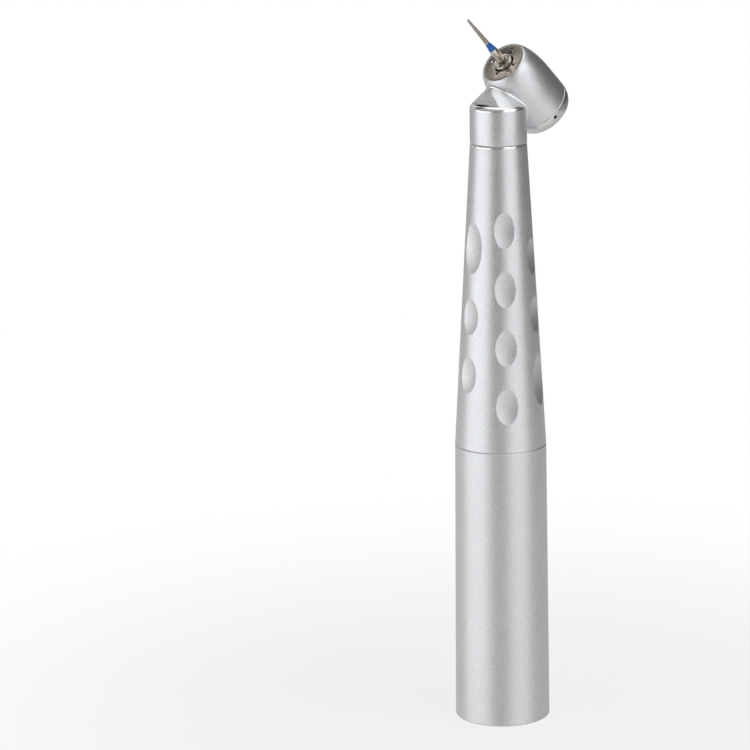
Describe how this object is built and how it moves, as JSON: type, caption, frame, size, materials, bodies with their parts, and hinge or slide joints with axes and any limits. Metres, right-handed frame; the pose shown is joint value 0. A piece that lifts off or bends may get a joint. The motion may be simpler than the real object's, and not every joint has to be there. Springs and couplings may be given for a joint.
{
  "type": "dental high speed handpiece",
  "caption": "Slim tapered air turbine handpiece with a dimpled grip, a head set at 45 degrees with push button, spray plate and fitted bur, and a stepped rear socket for a coupler.",
  "frame": {"origin": "centre of the rear face, on the body axis, at the mouth of the coupler socket", "axes": "+Z along the body to the head, -X towards the side that the bur leans to, XZ is the plane of symmetry of the neck and of the outside of the head"},
  "size_m": [0.024, 0.0176, 0.1326],
  "materials": {
    "satin_metal": "fine blasted satin silver",
    "polished_steel": "polished stainless steel",
    "turned_metal": "fine turned",
    "tube_steel": "drawn tube",
    "light_glass": "polished glass",
    "seal_rubber": "smooth rubber",
    "spring_steel": "drawn wire and strip",
    "bearing_steel": "ground",
    "ceramic_ball": "polished ceramic",
    "cage_resin": "phenolic resin",
    "rotor_steel": "ground steel",
    "impeller_alloy": "milled",
    "bur_steel": "ground steel shank with a blue band and a diamond coated end"
  },
  "bodies": {
    "body": {"rear_sleeve": "satin_metal", "grip_sleeve": "satin_metal", "neck": "satin_metal", "head_housing": "satin_metal", "spray_plate": "polished_steel", "back_cap": "polished_steel", "button_retainer": "polished_steel", "button_spring": "spring_steel", "coupler_socket": "turned_metal", "tube_block": "turned_metal", "sleeve_seal": "seal_rubber", "neck_seal": "seal_rubber", "drive_air_tube": "tube_steel", "water_tube": "tube_steel", "chip_air_tube": "tube_steel", "light_rod": "light_glass", "front_o_ring": "seal_rubber", "rear_o_ring": "seal_rubber", "preload_washer": "spring_steel", "front_bearing_outer": "bearing_steel", "rear_bearing_outer": "bearing_steel"},
    "rotor": {"spindle": "rotor_steel", "impeller": "impeller_alloy", "chuck_collet": "rotor_steel", "front_bearing_inner": "bearing_steel", "rear_bearing_inner": "bearing_steel"},
    "front_cage": {"front_bearing_balls": "ceramic_ball", "front_bearing_cage": "cage_resin"},
    "rear_cage": {"rear_bearing_balls": "ceramic_ball", "rear_bearing_cage": "cage_resin"},
    "pusher": {"chuck_pusher": "rotor_steel"},
    "bur": {"bur": "bur_steel"},
    "button": {"push_button": "polished_steel"}
  },
  "joints": [
    {"name": "rotor_spin", "type": "hinge", "parent": "body", "child": "rotor", "pos_m": [0.00163, 0, 0.12354], "axis": [-0.7071, 0, 0.7071], "continuous": true},
    {"name": "front_cage_spin", "type": "hinge", "parent": "body", "child": "front_cage", "pos_m": [0.00163, 0, 0.12354], "axis": [-0.7071, 0, 0.7071], "continuous": true},
    {"name": "rear_cage_spin", "type": "hinge", "parent": "body", "child": "rear_cage", "pos_m": [0.00163, 0, 0.12354], "axis": [-0.7071, 0, 0.7071], "continuous": true},
    {"name": "button_press", "type": "slide", "parent": "body", "child": "button", "axis": [-0.7071, 0, 0.7071], "range_m": [0, 0.0009], "stiffness_N_per_m": 4000, "springref_m": -0.0005, "deforming": ["button_spring"]},
    {"name": "pusher_slide", "type": "slide", "parent": "rotor", "child": "pusher", "axis": [-0.7071, 0, 0.7071], "range_m": [0, 0.0006]},
    {"name": "bur_pull", "type": "slide", "parent": "rotor", "child": "bur", "axis": [-0.7071, 0, 0.7071], "range_m": [0, 0.012]}
  ],
  "couplings": [
    {"joint": "front_cage_spin", "follows": "rotor_spin", "ratio": 0.395},
    {"joint": "rear_cage_spin", "follows": "rotor_spin", "ratio": 0.395},
    {"joint": "pusher_slide", "follows": "button_press", "ratio": 0.65}
  ]
}
